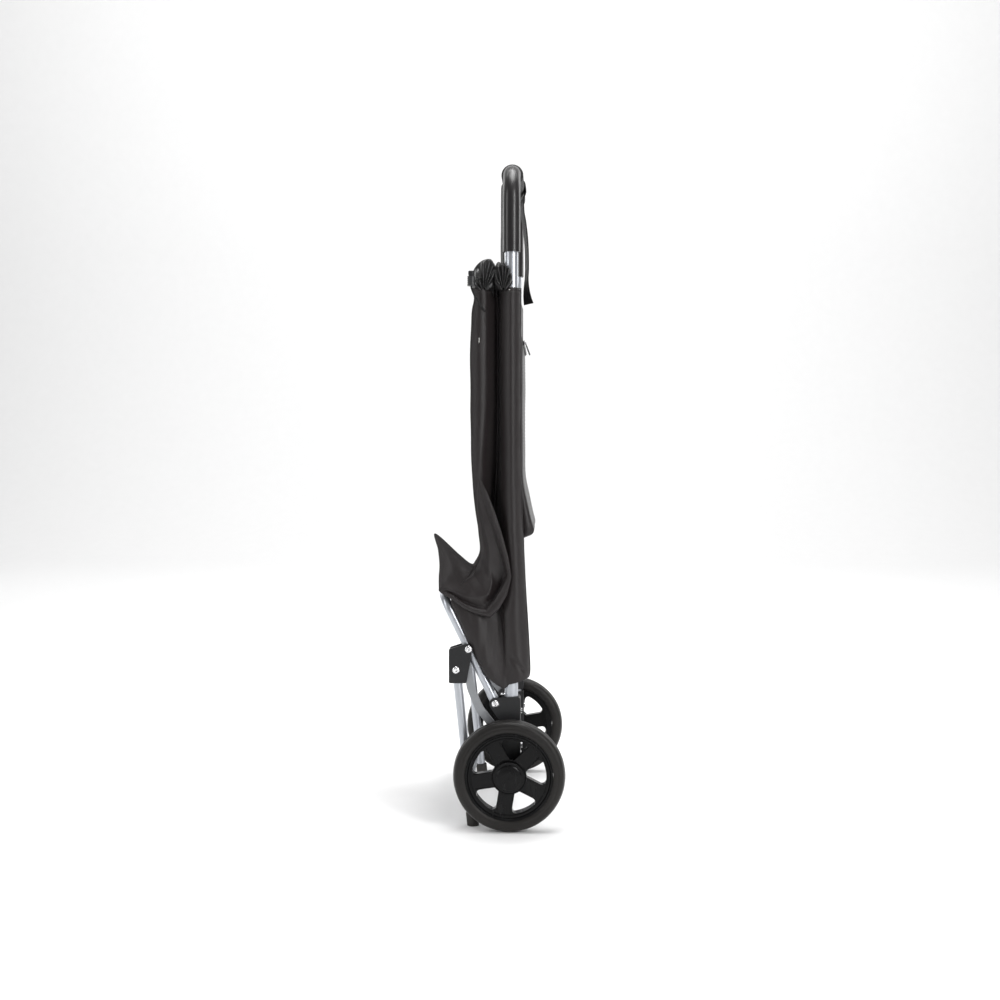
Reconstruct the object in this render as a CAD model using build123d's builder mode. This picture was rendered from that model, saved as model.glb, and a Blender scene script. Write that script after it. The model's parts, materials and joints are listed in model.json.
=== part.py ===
"""Folding two-wheeled shopping trolley with a fabric bag, modelled folded up.

Millimetres. +Z up, +Y towards the user who pulls it, +X to that user's left.
The origin is on the floor, under the middle of the trolley's outline.
Side-view sizes are measured from the wheel axle (Y) and from the floor (Z).
"""
import os
from math import cos, radians, sin, tan

from build123d import *

os.makedirs("parts", exist_ok=True)

# --- driving dimensions -------------------------------------------------------------
AXLE_Y = 13.4  # shifts the side view so that the origin is under the middle
AXLE_Z = 80.0  # the wheels' radius
SIDE_X = 150.0  # middle of the tubes, brackets and links on each side
CHEEK_X = (7.4, 12.5)  # inner and outer face of a bracket's cheek, from SIDE_X
FIT = 0.05  # radial clearance of tubes in sockets and of pins in eyes

TUBE_Y, TUBE_R, TUBE_WALL = 2.4, 9.5, 1.2
TUBE_FOOT_Z, HANDLE_Z, HANDLE_BEND = 93.0, 941.5, 45.0
SLEEVE_R, SLEEVE_FOOT_Z = 12.5, 824.0
GRIP_R, GRIP_LENGTH = 16.0, 206.0

LINK_R = 6.5  # platform and foot tubes
FOLD = (-20.3, 178.9)  # platform on the main tube
KNEE = (-58.9, 257.5)  # foot bracket on the platform tube
PLATFORM_ANGLE = 116.16  # the platform tube at rest, from +Y towards +Z
PLATFORM_OPENS = 63.84
PLATFORM_LENGTH, PLATFORM_BEND = 173.0, 28.0
FOOT_FIX = (-76.8, 227.5)  # rivet that holds the foot tube in its bracket
FOOT_ANGLE = -84.0
FOOT_TURN = 1.4427  # degrees that the foot turns back for each degree of the platform
LINK_TOP, LINK_FOOT = (-61.1, 233.8), (-17.5, 136.5)  # the two ends of the folding link
LINK_WIDTH, LINK_PLATE = 11.5, 4.0
OPEN_PIVOT_CLEARANCE = 2.1  # the link's top hole is this much larger than its pin

WHEEL_X, WHEEL_R, TYRE_IN_R, WHEEL_WIDTH = 180.0, 80.0, 62.5, 28.0
AXLE_R = 5.0
RIM_BORE_R, WINDOW_R, WINDOW_CORNER = 54.0, 53.0, 6.0
SPOKES, SPOKE_HALF, HUB_R, CAP_R = 5, 11.5, 22.0, 18.0

BAG_TOP, BAG_HEM, BAG_FOOT = 808.0, 773.0, 200.0
BAG_FRONT_Y, BAG_BACK_Y, BAG_HALF = -54.0, 15.4, 161.0
POCKET_HALF = 130.0
RIVET_R, RIVET_HEAD_R, RIVET_HEAD = 3.0, 5.5, 2.0

SIDES = {"left": 1, "right": -1}


def save(piece, name):
    """Label a finished piece and write it as one STEP file."""
    piece.part.label = name
    export_step(piece.part, f"parts/{name}.step")


def yz(y, z):
    """Side-view point: y from the axle, z from the floor."""
    return (AXLE_Y + y, z)


def side_plane(x):
    """Side-view plane at x, drawn in global Y and Z, its normal along +X."""
    return Plane.YZ.offset(x)


def platform_point(along, out):
    """Side-view point on the platform: along its tube from FOLD, and out to the bag's side."""
    angle = radians(PLATFORM_ANGLE)
    y = FOLD[0] + along * cos(angle) + out * sin(angle)
    z = FOLD[1] + along * sin(angle) - out * cos(angle)
    return yz(y, z)


def slab(x_from, x_to, *points, mode=Mode.ADD):
    """Add or cut a closed side-view outline, extruded from x_from to x_to."""
    with BuildSketch(side_plane(min(x_from, x_to))) as outline:
        with BuildLine():
            Polyline(*points, close=True)
        make_face()
    extrude(outline.sketch, amount=abs(x_to - x_from), mode=mode)


def disc(x_from, x_to, centre, radius, mode=Mode.ADD):
    """Add or cut a cylinder along X between x_from and x_to at a side-view point."""
    with BuildSketch(side_plane(min(x_from, x_to))) as circle:
        with Locations(yz(*centre)):
            Circle(radius)
    extrude(circle.sketch, amount=abs(x_to - x_from), mode=mode)


def tube_along(points, bend, outer, inner):
    """Sweep a round tube along a path of straight runs with equal bends."""
    with BuildLine() as route:
        path = FilletPolyline(*points, radius=bend)
    with BuildSketch(Plane(origin=path @ 0, z_dir=path % 0)) as ring:
        Circle(outer)
        Circle(inner, mode=Mode.SUBTRACT)
    sweep(ring.sketch, path=route.wires()[0])


def rivet(side, centre, x_from, x_to):
    """Add a round rivet with two low domed heads, clamping from x_from to x_to."""
    disc(side * x_from, side * x_to, centre, RIVET_R)
    for face, out in ((x_from, -side), (x_to, side)):
        plane = Plane(origin=(side * face, *yz(*centre)), z_dir=(out, 0, 0))
        with BuildSketch(plane) as rim_circle:
            Circle(RIVET_HEAD_R)
        with BuildSketch(plane.offset(RIVET_HEAD)) as top_circle:
            Circle(0.62 * RIVET_HEAD_R)
        loft([rim_circle.sketch, top_circle.sketch])


# --- handle frame -------------------------------------------------------------------
tube_y = AXLE_Y + TUBE_Y
with BuildPart() as handle_frame:
    tube_along(
        [(SIDE_X, tube_y, TUBE_FOOT_Z), (SIDE_X, tube_y, HANDLE_Z),
         (-SIDE_X, tube_y, HANDLE_Z), (-SIDE_X, tube_y, TUBE_FOOT_Z)],
        HANDLE_BEND, TUBE_R, TUBE_R - TUBE_WALL)
save(handle_frame, "handle_frame")

with BuildPart() as handle_sleeve:
    tube_along(
        [(SIDE_X, tube_y, SLEEVE_FOOT_Z), (SIDE_X, tube_y, HANDLE_Z),
         (-SIDE_X, tube_y, HANDLE_Z), (-SIDE_X, tube_y, SLEEVE_FOOT_Z)],
        HANDLE_BEND, SLEEVE_R, TUBE_R + FIT)
save(handle_sleeve, "handle_sleeve")

with BuildPart() as grip:
    with BuildSketch(side_plane(-GRIP_LENGTH / 2)):
        with Locations(yz(TUBE_Y, HANDLE_Z)):
            Circle(GRIP_R)
            Circle(SLEEVE_R + FIT, mode=Mode.SUBTRACT)
    extrude(amount=GRIP_LENGTH)
    rims = grip.edges().filter_by(GeomType.CIRCLE).group_by(SortBy.RADIUS)[-1]
    fillet(rims, 2.6)
save(grip, "grip")

# --- axle, its housings and the clamp brackets ---------------------------------------
AXLE_HALF = WHEEL_X + 11.5
HOUSING_TOP, BRACKET_FOOT, BRACKET_TOP = 142.0, 146.0, 189.4
with BuildPart() as axle:
    disc(-AXLE_HALF, AXLE_HALF, (0, AXLE_Z), AXLE_R)
    chamfer(axle.edges().filter_by(GeomType.CIRCLE), 0.8)
save(axle, "axle")

with BuildPart() as axle_tube:
    inner_face = SIDE_X - CHEEK_X[1] - 0.2
    disc(-inner_face, inner_face, (0, AXLE_Z), 8.0)
    disc(-inner_face, inner_face, (0, AXLE_Z), AXLE_R + FIT, Mode.SUBTRACT)
save(axle_tube, "axle_tube")

for name, side in SIDES.items():
    inner, outer = side * (SIDE_X - CHEEK_X[1]), side * (SIDE_X + CHEEK_X[1])
    with BuildPart() as axle_housing:
        disc(inner, outer, (0, AXLE_Z), 17.0)
        slab(inner, outer, yz(-13, AXLE_Z), yz(16, AXLE_Z), yz(15.5, HOUSING_TOP),
             yz(-10.5, HOUSING_TOP), yz(-26, 140), yz(-25, 129))
        disc(inner, outer, LINK_FOOT, 10.0)
        fillet(axle_housing.edges().filter_by(Axis.X).group_by(Axis.Z)[-1], 2.0)
        with BuildSketch(Plane.XY.offset(HOUSING_TOP)):
            with Locations((side * SIDE_X, tube_y)):
                Circle(TUBE_R + FIT)
        extrude(amount=-(HOUSING_TOP - TUBE_FOOT_Z + 0.2), mode=Mode.SUBTRACT)
        disc(inner, outer, (0, AXLE_Z), AXLE_R + FIT, Mode.SUBTRACT)
        disc(inner, outer, LINK_FOOT, RIVET_R + FIT, Mode.SUBTRACT)
        slot_half = LINK_PLATE / 2 + 0.6
        with BuildSketch(side_plane(side * SIDE_X - slot_half)):
            with Locations(yz(-25, 138)):
                Rectangle(30, 34)
        extrude(amount=2 * slot_half, mode=Mode.SUBTRACT)
    save(axle_housing, f"axle_housing_{name}")

    with BuildPart() as pivot_bracket:
        slab(inner, outer, yz(-8.5, BRACKET_FOOT), yz(15.5, BRACKET_FOOT),
             yz(15.5, BRACKET_TOP), yz(-24, 187.0), yz(-28.3, 178), yz(-26, 171.5))
        disc(inner, outer, FOLD, 8.6)
        fillet(pivot_bracket.edges().filter_by(Axis.X).group_by(Axis.Y)[-1], 4.0)
        with BuildSketch(Plane.XY.offset(BRACKET_FOOT)):
            with Locations((side * SIDE_X, tube_y)):
                Circle(TUBE_R + FIT)
        extrude(amount=BRACKET_TOP - BRACKET_FOOT + 1, mode=Mode.SUBTRACT)
        disc(inner, outer, FOLD, RIVET_R + FIT, Mode.SUBTRACT)
        with BuildSketch(side_plane(side * SIDE_X - CHEEK_X[0])):
            with Locations(yz(-31.6, 175)):
                Rectangle(40, 60)
        extrude(amount=2 * CHEEK_X[0], mode=Mode.SUBTRACT)
    save(pivot_bracket, f"pivot_bracket_{name}")

with BuildPart() as fold_rivets:
    for side in SIDES.values():
        rivet(side, FOLD, SIDE_X - CHEEK_X[1], SIDE_X + CHEEK_X[1])
save(fold_rivets, "fold_rivets")

with BuildPart() as link_rivets:
    for side in SIDES.values():
        rivet(side, LINK_FOOT, SIDE_X - CHEEK_X[1], SIDE_X + CHEEK_X[1])
save(link_rivets, "link_rivets")

SCREW_HEAD_R, SCREW_HEAD, CROSS_DEPTH = 4.0, 2.4, 1.2
SCREW_SEATS = {"housing_screws": (15.8, 118.0), "bracket_screws": (15.55, 168.0)}
for name, (back, height) in SCREW_SEATS.items():
    with BuildPart() as screws:
        for side in SIDES.values():
            plane = Plane(origin=(side * SIDE_X, *yz(back, height)), z_dir=(0, 1, 0))
            with BuildSketch(plane):
                Circle(SCREW_HEAD_R)
            extrude(amount=SCREW_HEAD)
            with BuildSketch(plane.offset(SCREW_HEAD)):
                Rectangle(4.8, 1.0)
                Rectangle(1.0, 4.8)
            extrude(amount=-CROSS_DEPTH, mode=Mode.SUBTRACT)
    save(screws, name)

# --- wheels -------------------------------------------------------------------------
HUB_RECESS_R, HUB_RECESS = 13.0, 8.0
WHEEL_IN = WHEEL_X - WHEEL_WIDTH / 2
HUB_FACE = WHEEL_X + WHEEL_WIDTH / 2 + 1.0
FIRST_SPOKE = {"left": 45.0, "right": 10.0}  # degrees from +Y towards +Z


def wheel_section(side, *points):
    """Revolve a half section, given as (x, radius) pairs, about the axle."""
    with BuildSketch(Plane.XY.offset(AXLE_Z)) as section:
        with BuildLine():
            Polyline(*[(side * x, AXLE_Y + radius) for x, radius in points], close=True)
        make_face()
    revolve(section.sketch, axis=Axis((0, AXLE_Y, AXLE_Z), (1, 0, 0)))


def spoke_window(side, turn):
    """Cut one rounded opening between two spokes, its middle at turn degrees."""
    half = 180.0 / SPOKES
    inner = SPOKE_HALF / sin(radians(half))
    corner = radians(half) - SPOKE_HALF / WINDOW_R
    plane = Plane(origin=(side * WHEEL_X - 20, AXLE_Y, AXLE_Z), z_dir=(1, 0, 0),
                  x_dir=(0, cos(radians(turn)), sin(radians(turn))))
    upper = (WINDOW_R * cos(corner), WINDOW_R * sin(corner))
    lower = (upper[0], -upper[1])
    with BuildSketch(plane) as opening:
        with BuildLine():
            Line((inner, 0), upper)
            ThreePointArc(upper, (WINDOW_R, 0), lower)
            Line(lower, (inner, 0))
        make_face()
        fillet(opening.vertices(), WINDOW_CORNER)
    extrude(opening.sketch, amount=40, mode=Mode.SUBTRACT)


for name, side in SIDES.items():
    with BuildPart() as tyre:
        wheel_section(
            side, (WHEEL_IN + 1, TYRE_IN_R + FIT), (WHEEL_IN, 70), (WHEEL_IN + 1.5, 76),
            (WHEEL_IN + 6, 79.4), (WHEEL_X, WHEEL_R), (WHEEL_X + 8, 79.4),
            (WHEEL_X + 12.5, 76), (WHEEL_X + 14, 70), (WHEEL_X + 13, TYRE_IN_R + FIT))
    save(tyre, f"tyre_{name}")

    with BuildPart() as rim:
        wheel_section(
            side, (WHEEL_IN + 1.5, RIM_BORE_R), (WHEEL_IN + 1.5, TYRE_IN_R),
            (WHEEL_X + 12.5, TYRE_IN_R), (WHEEL_X + 12.5, 59.5), (WHEEL_X + 10.5, 58),
            (WHEEL_X + 10.5, RIM_BORE_R))
        wheel_section(
            side, (WHEEL_X - 2, 10), (WHEEL_X - 2, 56), (WHEEL_X + 10, 56), (WHEEL_X + 10, 10))
        for spoke in range(SPOKES):
            spoke_window(side, FIRST_SPOKE[name] + (spoke + 0.5) * 360 / SPOKES)
        disc(side * (WHEEL_IN + 1), side * HUB_FACE, (0, AXLE_Z), HUB_R)
        disc(side * (HUB_FACE - HUB_RECESS), side * HUB_FACE, (0, AXLE_Z), HUB_RECESS_R,
             Mode.SUBTRACT)
        disc(side * WHEEL_IN, side * HUB_FACE, (0, AXLE_Z), 7.0, Mode.SUBTRACT)
    save(rim, f"rim_{name}")

    with BuildPart() as bush:
        disc(side * (WHEEL_IN + 1), side * (HUB_FACE - HUB_RECESS), (0, AXLE_Z), 7.0 - FIT)
        disc(side * WHEEL_IN, side * HUB_FACE, (0, AXLE_Z), AXLE_R + FIT, Mode.SUBTRACT)
    save(bush, f"bush_{name}")

    with BuildPart() as hub_cap:
        wheel_section(
            side, (HUB_FACE + FIT, CAP_R), (HUB_FACE + 1.6, CAP_R), (HUB_FACE + 2.6, CAP_R - 1.6),
            (HUB_FACE + 3.4, 9.0), (HUB_FACE + 3.6, 0), (HUB_FACE + 1.2, 0),
            (HUB_FACE + 1.2, 10.5), (HUB_FACE - 3.0, 10.5), (HUB_FACE - 3.0, 12.5),
            (HUB_FACE + FIT, 12.5))
    save(hub_cap, f"hub_cap_{name}")

with BuildPart() as axle_washers:
    for side in SIDES.values():
        disc(side * (SIDE_X + CHEEK_X[1] + 0.2), side * (WHEEL_IN + 0.4), (0, AXLE_Z), 9.0)
        disc(side * (SIDE_X + CHEEK_X[1]), side * WHEEL_X, (0, AXLE_Z), AXLE_R + FIT,
             Mode.SUBTRACT)
save(axle_washers, "axle_washers")

with BuildPart() as push_nuts:
    for side in SIDES.values():
        disc(side * (HUB_FACE - HUB_RECESS + 0.4), side * (HUB_FACE - 5.6), (0, AXLE_Z), 8.5)
        disc(side * WHEEL_X, side * HUB_FACE, (0, AXLE_Z), AXLE_R + FIT, Mode.SUBTRACT)
save(push_nuts, "push_nuts")

# --- platform -----------------------------------------------------------------------
with BuildPart() as platform_tube:
    start, corner = platform_point(7.0, 0), platform_point(PLATFORM_LENGTH, 0)
    tube_along(
        [(SIDE_X, *start), (SIDE_X, *corner), (-SIDE_X, *corner), (-SIDE_X, *start)],
        PLATFORM_BEND, LINK_R, LINK_R - TUBE_WALL)
    for side in SIDES.values():
        eye = side * (SIDE_X - 4.5), side * (SIDE_X + 4.5)
        disc(*eye, FOLD, LINK_R)
        slab(*eye, platform_point(0, LINK_R), platform_point(16, LINK_R),
             platform_point(16, -LINK_R), platform_point(0, -LINK_R))
        for pivot in (FOLD, KNEE):
            disc(side * (SIDE_X - 20), side * (SIDE_X + 20), pivot, RIVET_R + FIT, Mode.SUBTRACT)
save(platform_tube, "platform_tube")

BOARD_HALF = 134.0
with BuildPart() as base_board:
    slab(-BOARD_HALF, BOARD_HALF, platform_point(24, 8.2), platform_point(182, 8.2),
         platform_point(182, 11.4), platform_point(24, 11.4))
save(base_board, "base_board")

with BuildPart() as bag_base:
    slab(-BAG_HALF, BAG_HALF, platform_point(26, 15), platform_point(182, 15),
         platform_point(182, 22), platform_point(34, 22))
save(bag_base, "bag_base")

HORN_TIP = (-106.8, 422.7)
with BuildPart() as bag_front_fold:
    slab(-BAG_HALF + 4, BAG_HALF - 4, platform_point(184, 12), yz(-101.2, 375), yz(*HORN_TIP),
         yz(-90, 403), yz(-62, 386), platform_point(184, 24))
save(bag_front_fold, "bag_front_fold")

# --- foot ---------------------------------------------------------------------------
CAP_HEIGHT, CAP_WALL = 20.0, 2.2


def foot_point(height):
    """Side-view point on the foot tube's axis at a height above the floor."""
    return yz(FOOT_FIX[0] + (height - FOOT_FIX[1]) / tan(radians(FOOT_ANGLE)), height)


stop_angle = radians(PLATFORM_ANGLE + FOOT_TURN * PLATFORM_OPENS)
STOP_GAP = LINK_R + 0.6


def stop_point(along, below=STOP_GAP):
    """Side-view point on the face that the opened platform tube comes down on."""
    return yz(KNEE[0] + along * cos(stop_angle) - below * sin(stop_angle),
              KNEE[1] + along * sin(stop_angle) + below * cos(stop_angle))


with BuildPart() as foot_frame:
    for side in SIDES.values():
        top, low = foot_point(246), foot_point(4)
        with BuildLine():
            leg = Line((side * SIDE_X, *low), (side * SIDE_X, *top))
        with BuildSketch(Plane(origin=leg @ 0, z_dir=leg % 0)):
            Circle(LINK_R)
            Circle(LINK_R - TUBE_WALL, mode=Mode.SUBTRACT)
        sweep(path=leg)
    tie = foot_point(58)
    tie_half = SIDE_X - LINK_R + 0.6
    with BuildSketch(side_plane(-tie_half)):
        with Locations(tie):
            Circle(5.0)
    extrude(amount=2 * tie_half)
    for side in SIDES.values():
        slab(side * (SIDE_X - 10), side * (SIDE_X + 10), stop_point(-10), stop_point(60),
             stop_point(60, -30), stop_point(-10, -30), mode=Mode.SUBTRACT)
        disc(side * (SIDE_X - 20), side * (SIDE_X + 20), FOOT_FIX, RIVET_R + FIT, Mode.SUBTRACT)
save(foot_frame, "foot_frame")

for name, side in SIDES.items():
    cheek_in, cheek_out = CHEEK_X
    with BuildPart() as foot_bracket:
        slab(side * (SIDE_X - cheek_out), side * (SIDE_X + cheek_out), yz(-87, 208.5),
             yz(-62, 208.5), yz(-55.6, 243), yz(-53.4, 256), yz(-58, 264.6), yz(-63.5, 265),
             yz(-87, 257.4))
        fillet(foot_bracket.edges().filter_by(Axis.X), 2.4)
        slab(side * (SIDE_X - cheek_in), side * (SIDE_X + cheek_in), yz(-65.4, 200),
             yz(-40, 200), yz(-40, 280), yz(-100, 280), stop_point(50), stop_point(13),
             yz(-69.2, 238), mode=Mode.SUBTRACT)
        with BuildLine(mode=Mode.PRIVATE):
            socket = Line((side * SIDE_X, *foot_point(200)), (side * SIDE_X, *foot_point(250)))
        with BuildSketch(Plane(origin=socket @ 0, z_dir=socket % 0)):
            Circle(LINK_R + FIT)
        extrude(amount=50, mode=Mode.SUBTRACT)
        for pivot in (KNEE, FOOT_FIX):
            disc(side * (SIDE_X - 20), side * (SIDE_X + 20), pivot, RIVET_R + FIT, Mode.SUBTRACT)
    save(foot_bracket, f"foot_bracket_{name}")

with BuildPart() as foot_rivets:
    for side in SIDES.values():
        for pivot in (KNEE, FOOT_FIX):
            rivet(side, pivot, SIDE_X - CHEEK_X[1], SIDE_X + CHEEK_X[1])
save(foot_rivets, "foot_rivets")

LINK_PIN_R, LINK_EYE_R = 1.9, 6.0
with BuildPart() as link_pins:
    for side in SIDES.values():
        disc(side * (SIDE_X - CHEEK_X[0]), side * (SIDE_X + CHEEK_X[0]), LINK_TOP, LINK_PIN_R)
save(link_pins, "link_pins")

for name, side in SIDES.items():
    with BuildPart() as foot_cap:
        with BuildLine(mode=Mode.PRIVATE):
            ankle = Line((side * SIDE_X, *foot_point(-6)), (side * SIDE_X, *foot_point(CAP_HEIGHT)))
        with BuildSketch(Plane(origin=ankle @ 0, z_dir=ankle % 0)) as cap_outline:
            Circle(LINK_R + CAP_WALL)
        sweep(cap_outline.sketch, path=ankle)
        split(bisect_by=Plane.XY, keep=Keep.TOP)
        fillet(foot_cap.edges().group_by(Axis.Z)[-1], 1.2)
        with BuildLine(mode=Mode.PRIVATE):
            socket = Line((side * SIDE_X, *foot_point(3.9)), (side * SIDE_X, *foot_point(40)))
        with BuildSketch(Plane(origin=socket @ 0, z_dir=socket % 0)) as cap_socket:
            Circle(LINK_R + FIT)
        extrude(cap_socket.sketch, amount=40, mode=Mode.SUBTRACT)
    save(foot_cap, f"foot_cap_{name}")

# --- folding links --------------------------------------------------------------------
LINK_KNEE, LINK_NECK, LAP = (-43.5, 170.0), (-56.0, 201.0), 7.0


def towards(start, end, distance):
    """The point at a distance from start on the way to end."""
    length = ((end[0] - start[0]) ** 2 + (end[1] - start[1]) ** 2) ** 0.5
    return tuple(a + (b - a) * distance / length for a, b in zip(start, end))


def link_plate(x_from, x_to, *points):
    """Add one flat link plate with round ends, its edges parallel to the route."""
    with BuildSketch(side_plane(min(x_from, x_to))) as plate:
        with BuildLine() as route:
            FilletPolyline(*[yz(*point) for point in points], radius=40)
        trace(route.edges(), line_width=LINK_WIDTH)
    extrude(plate.sketch, amount=abs(x_to - x_from))


for name, side in SIDES.items():
    near, middle = side * (SIDE_X - LINK_PLATE / 2), side * (SIDE_X + LINK_PLATE / 2)
    far = side * (SIDE_X + LINK_PLATE * 1.25)
    with BuildPart() as folding_link:
        link_plate(near, middle, LINK_FOOT, LINK_KNEE, towards(LINK_KNEE, LINK_NECK, LAP))
        link_plate(middle, far, towards(LINK_KNEE, LINK_FOOT, LAP), LINK_KNEE, LINK_NECK, LINK_TOP)
        disc(near, middle, LINK_FOOT, LINK_WIDTH / 2 + 1)
        disc(middle, far, LINK_TOP, LINK_EYE_R)
        disc(near, far, LINK_FOOT, RIVET_R + FIT, Mode.SUBTRACT)
        disc(near, far, LINK_TOP, LINK_PIN_R + OPEN_PIVOT_CLEARANCE, Mode.SUBTRACT)
    save(folding_link, f"folding_link_{name}")

# --- bag, upper half, hanging on the tubes ----------------------------------------------
FABRIC = 2.4
SLEEVE_GAP = 0.4
VALLEY, RIDGE = (134.0, -18.0), (160.0, -37.0)


def bag_point(x, y):
    """Plan-view point: x from the middle, y from the axle."""
    return (x, AXLE_Y + y)


with BuildPart() as bag_back_panel:
    sleeve_in = SIDE_X - TUBE_R - SLEEVE_GAP - FABRIC
    slab(-sleeve_in + 0.3, sleeve_in - 0.3, yz(BAG_BACK_Y - FABRIC, BAG_FOOT + 20),
         yz(BAG_BACK_Y, BAG_FOOT + 20), yz(BAG_BACK_Y, BAG_HEM), yz(BAG_BACK_Y - FABRIC, BAG_HEM))
save(bag_back_panel, "bag_back_panel")

with BuildPart() as bag_front_panel:
    slab(-BAG_HALF + 5, BAG_HALF - 5, yz(BAG_FRONT_Y, 397), yz(BAG_FRONT_Y + FABRIC, 397),
         yz(BAG_FRONT_Y + FABRIC, BAG_HEM + 2), yz(BAG_FRONT_Y, BAG_HEM + 2))
save(bag_front_panel, "bag_front_panel")

for name, side in SIDES.items():
    with BuildPart() as bag_sleeve:
        with BuildSketch(Plane.XY.offset(BAG_FOOT)):
            with Locations(bag_point(side * SIDE_X, TUBE_Y)):
                Circle(TUBE_R + SLEEVE_GAP + FABRIC)
                Circle(TUBE_R + SLEEVE_GAP, mode=Mode.SUBTRACT)
        extrude(amount=BAG_HEM - BAG_FOOT)
    save(bag_sleeve, f"bag_sleeve_{name}")

    with BuildPart() as bag_gusset:
        with BuildSketch(Plane.XY.offset(345)):
            with BuildLine() as pleat:
                Polyline(bag_point(side * 152, -12), bag_point(side * VALLEY[0], VALLEY[1]),
                         bag_point(side * RIDGE[0], RIDGE[1]), bag_point(side * 154.5, -49.8))
            trace(pleat.edges(), line_width=2.0)
        extrude(amount=BAG_HEM + 2 - 345)
    save(bag_gusset, f"bag_gusset_{name}")

MOUTH_HALF, MOUTH_FRONT, MOUTH_BACK = 128.0, -37.0, -21.0
with BuildPart() as bag_collar:
    with BuildSketch(Plane.XY.offset(BAG_HEM + 2.5)):
        with Locations(bag_point(0, -28)):
            RectangleRounded(2 * BAG_HALF, 58, 6)
        with Locations(bag_point(0, (MOUTH_FRONT + MOUTH_BACK) / 2)):
            Rectangle(2 * MOUTH_HALF, MOUTH_BACK - MOUTH_FRONT, mode=Mode.SUBTRACT)
        with Locations(bag_point(SIDE_X, TUBE_Y), bag_point(-SIDE_X, TUBE_Y)):
            Circle(TUBE_R + 0.7, mode=Mode.SUBTRACT)
    extrude(amount=BAG_TOP - BAG_HEM - 2.5)
save(bag_collar, "bag_collar")

# --- hanging strap over the grip ----------------------------------------------------------
STRAP_HALF, STRAP_THICK = 14.0, 1.8
wrap_r = GRIP_R + 0.3 + STRAP_THICK / 2
with BuildPart() as hang_strap:
    with BuildSketch(side_plane(-STRAP_HALF)):
        with BuildLine() as strap_line:
            top = yz(TUBE_Y, HANDLE_Z + wrap_r)
            front, rear = yz(TUBE_Y - wrap_r, HANDLE_Z), yz(TUBE_Y + wrap_r, HANDLE_Z)
            Spline(yz(-18, BAG_TOP + 0.5), yz(-21, 850), yz(-17.6, 895), front)
            ThreePointArc(front, top, rear)
            Spline(rear, yz(18.6, 895), yz(21.4, 850), yz(21.6, 805), yz(24, 764))
        trace(strap_line.edges(), line_width=STRAP_THICK)
    extrude(amount=2 * STRAP_HALF)
save(hang_strap, "hang_strap")

# --- drawstring tape and its lock ------------------------------------------------------------
LOCK_X, LOCK_Y, LOCK_FOOT, LOCK_TOP = 171.0, -54.0, 774.0, 787.5
BUTTON_TRAVEL = 2.0
with BuildPart() as drawstring_tape:
    slab(162.2, 163.8, yz(-57, 760), yz(-51, 764), yz(-39, 742), yz(-32, 746), yz(-46, 773),
         yz(-57, 773))
save(drawstring_tape, "drawstring_tape")

with BuildPart() as cord_lock_body:
    with BuildSketch(Plane.XY.offset(LOCK_FOOT)):
        with Locations(bag_point(LOCK_X, LOCK_Y)):
            RectangleRounded(13, 10.6, 4)
    extrude(amount=LOCK_TOP - LOCK_FOOT)
    with BuildSketch(Plane.XY.offset(LOCK_TOP)):
        with Locations(bag_point(LOCK_X, LOCK_Y)):
            RectangleRounded(9.2, 7.0, 2)
    extrude(amount=-10.5, mode=Mode.SUBTRACT)
    for rib in range(4):
        with BuildSketch(Plane.XY.offset(LOCK_FOOT + 2.4 + 2.8 * rib)):
            with Locations(bag_point(LOCK_X, LOCK_Y)):
                RectangleRounded(13, 10.6, 4)
                RectangleRounded(12, 9.6, 3.5, mode=Mode.SUBTRACT)
        extrude(amount=1.3, mode=Mode.SUBTRACT)
save(cord_lock_body, "cord_lock_body")

with BuildPart() as cord_lock_button:
    with BuildSketch(Plane.XY.offset(LOCK_TOP - 6)):
        with Locations(bag_point(LOCK_X, LOCK_Y)):
            RectangleRounded(9.0, 6.8, 1.9)
    extrude(amount=6 + BUTTON_TRAVEL + 0.3)
    with BuildSketch(Plane.XY.offset(LOCK_TOP + BUTTON_TRAVEL + 0.3)):
        with Locations(bag_point(LOCK_X, LOCK_Y)):
            RectangleRounded(10.4, 8.2, 3)
    extrude(amount=5.4)
    fillet(cord_lock_button.edges().group_by(Axis.Z)[-1], 1.6)
save(cord_lock_button, "cord_lock_button")

with BuildPart() as cord_lock_spring:
    with BuildSketch(Plane.XY.offset(LOCK_TOP - 10.4)):
        with Locations(bag_point(LOCK_X, LOCK_Y)):
            Circle(2.6)
            Circle(2.0, mode=Mode.SUBTRACT)
    extrude(amount=2.2)
save(cord_lock_spring, "cord_lock_spring")

# --- rear pocket and its zip --------------------------------------------------------------------
ZIP_Z = 697.0
with BuildPart() as rear_pocket:
    slab(-POCKET_HALF, POCKET_HALF, yz(BAG_BACK_Y + 0.3, 704), yz(17.6, 704), yz(18.6, 500),
         yz(25.9, 467), yz(34.0, 428), yz(31.2, 421.6), yz(BAG_BACK_Y + 0.3, 414))
save(rear_pocket, "rear_pocket")

with BuildPart() as pocket_zip:
    slab(-POCKET_HALF + 6, POCKET_HALF - 6, yz(17.9, ZIP_Z - 3), yz(19.6, ZIP_Z - 3),
         yz(19.6, ZIP_Z + 3), yz(17.9, ZIP_Z + 3))
save(pocket_zip, "pocket_zip")

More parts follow.
